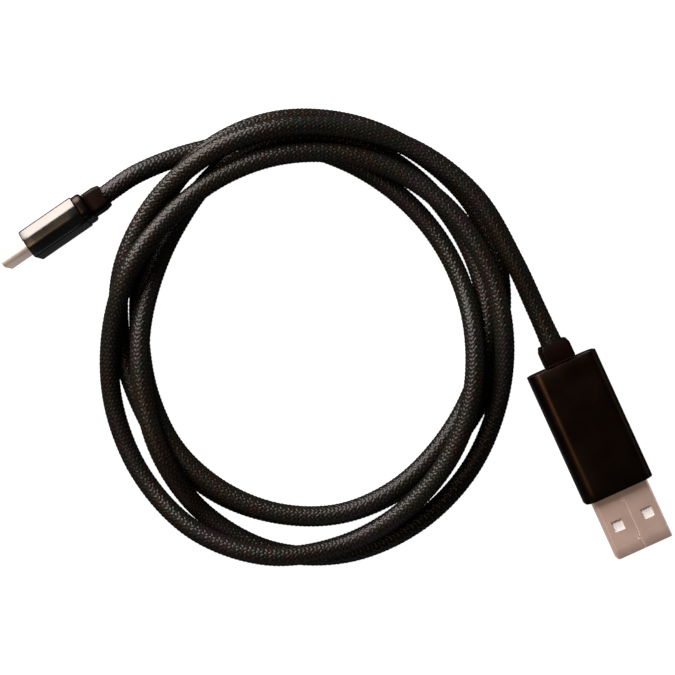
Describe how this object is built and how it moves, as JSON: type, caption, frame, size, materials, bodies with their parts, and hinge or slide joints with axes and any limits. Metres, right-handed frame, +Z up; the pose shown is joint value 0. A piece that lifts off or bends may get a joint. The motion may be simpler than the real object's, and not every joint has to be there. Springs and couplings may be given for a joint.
{
  "type": "charging cable",
  "caption": "Braided charging cable lying in a loose coil, a full-size USB plug in a metal housing at one end and a small reversible USB plug at the other.",
  "frame": {"origin": "middle of the two plugs' bounding box in plan, on the floor they lie on", "axes": "+Z up, away from the floor; +X along the longest way between the plugs, towards the wide plug; +Y level, away from the wide plug's nose"},
  "size_m": [0.1362, 0.0922, 0.0129],
  "materials": {
    "housing_black": "gloss black anodised",
    "ring_black": "satin black anodised",
    "collar_black": "moulded, satin",
    "plug_shell": "nickel plated, bright",
    "tongue_white": "moulded",
    "insulator_black": "moulded",
    "contact_gold": "gold plated",
    "inner_plastic": "moulded",
    "board_green": "lacquered laminate",
    "chip_black": "moulded",
    "spring_steel": "plain",
    "wire_red": "extruded",
    "wire_white": "extruded",
    "wire_green": "extruded",
    "wire_black": "extruded",
    "braid_black": "braided yarn, slightly shiny",
    "jacket_black": "extruded"
  },
  "bodies": {
    "root": {"usb_a_sleeve": "housing_black", "usb_a_rear_plate": "inner_plastic", "usb_a_front_plate": "inner_plastic", "usb_a_core": "inner_plastic", "usb_a_shell": "plug_shell", "usb_a_tongue": "tongue_white", "usb_a_collar": "collar_black", "usb_c_collar": "collar_black", "usb_c_ring": "ring_black", "usb_c_sleeve": "housing_black", "usb_c_front_plate": "inner_plastic", "usb_c_core": "inner_plastic", "usb_c_shell": "plug_shell", "usb_c_insulator": "insulator_black", "usb_c_board": "board_green", "usb_c_resistor": "chip_black", "cord_braid": "braid_black", "cord_core": "jacket_black", "usb_a_contact_1": "contact_gold", "usb_a_wire_1": "wire_red", "usb_c_wire_1": "wire_red", "usb_a_contact_2": "contact_gold", "usb_a_wire_2": "wire_white", "usb_c_wire_2": "wire_white", "usb_a_contact_3": "contact_gold", "usb_a_wire_3": "wire_green", "usb_c_wire_3": "wire_green", "usb_a_contact_4": "contact_gold", "usb_a_wire_4": "wire_black", "usb_c_wire_4": "wire_black", "usb_c_contact_1": "contact_gold", "usb_c_contact_2": "contact_gold", "usb_c_contact_3": "contact_gold", "usb_c_contact_4": "contact_gold", "usb_c_contact_5": "contact_gold", "usb_c_contact_6": "contact_gold", "usb_c_contact_7": "contact_gold", "usb_c_contact_8": "contact_gold", "usb_c_latch_1": "spring_steel", "usb_c_latch_2": "spring_steel"}
  },
  "joints": []
}
